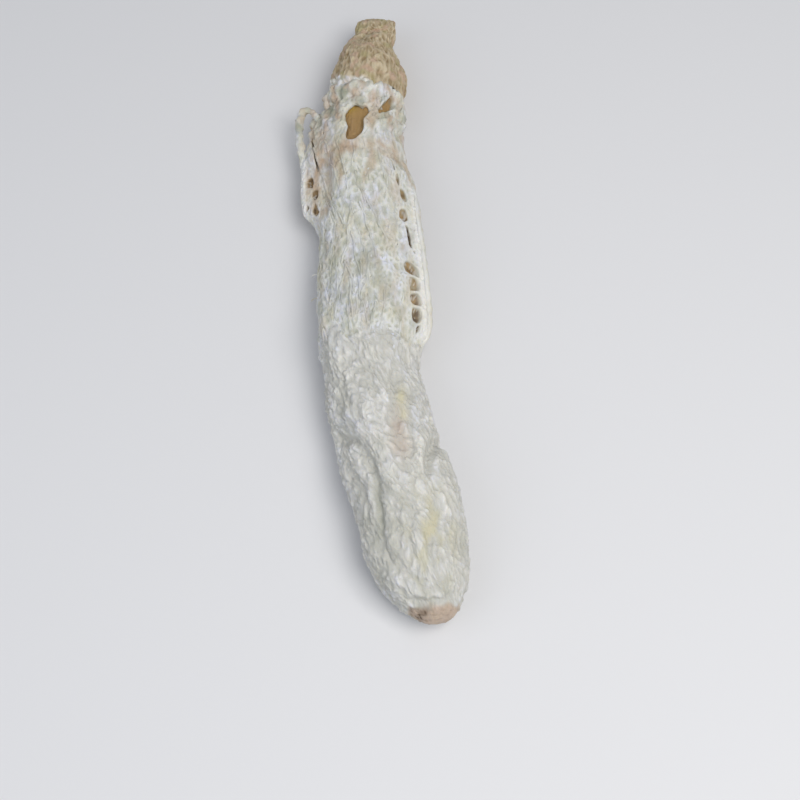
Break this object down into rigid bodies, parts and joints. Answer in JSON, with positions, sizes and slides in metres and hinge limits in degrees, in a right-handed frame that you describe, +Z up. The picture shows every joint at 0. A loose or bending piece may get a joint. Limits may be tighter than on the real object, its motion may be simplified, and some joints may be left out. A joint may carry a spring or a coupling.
{
  "type": "dried bamboo fungus",
  "caption": "Dried long-net mushroom lying on its side: a wrinkled spongy stem, a lace-like net veil round its upper half and a small conical cap.",
  "frame": {"origin": "on the surface it lies on, under the middle of its outer box", "axes": "+Y from the stem's tip towards the cap, +Z up from the flattened underside, +X to the right"},
  "size_m": [0.045, 0.1824, 0.0218],
  "materials": {
    "stem": "dry spongy fungus flesh, crumpled and matt",
    "veil": "dry net of thin spongy strands, matt",
    "cap": "dry pitted skin, brown and matt"
  },
  "bodies": {
    "root": {"stem": "stem", "veil": "veil", "cap": "cap"}
  },
  "joints": []
}
